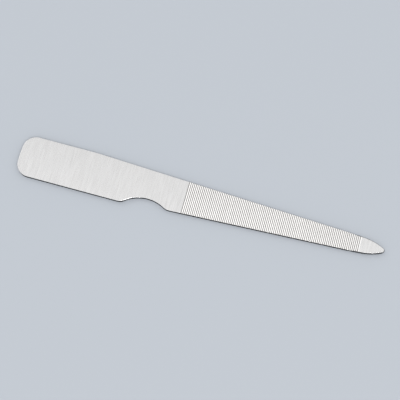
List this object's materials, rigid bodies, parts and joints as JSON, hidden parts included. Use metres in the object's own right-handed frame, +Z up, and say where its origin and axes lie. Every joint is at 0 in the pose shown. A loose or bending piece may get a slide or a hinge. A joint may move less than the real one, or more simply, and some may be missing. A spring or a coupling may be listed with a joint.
{
  "type": "nail file",
  "caption": "Flat one-piece metal nail file with a plain rounded handle, a thumb scoop and a tapered blade with transverse teeth.",
  "frame": {"origin": "on the underside, at the centre of the length and of the width", "axes": "+X along the length from the handle's end to the point, +Z up out of the face, thumb scoop on -Y"},
  "size_m": [0.1302, 0.0148, 0.0015],
  "materials": {
    "satin_steel": "satin, brushed across the width"
  },
  "bodies": {
    "root": {"nail_file": "satin_steel"}
  },
  "joints": []
}
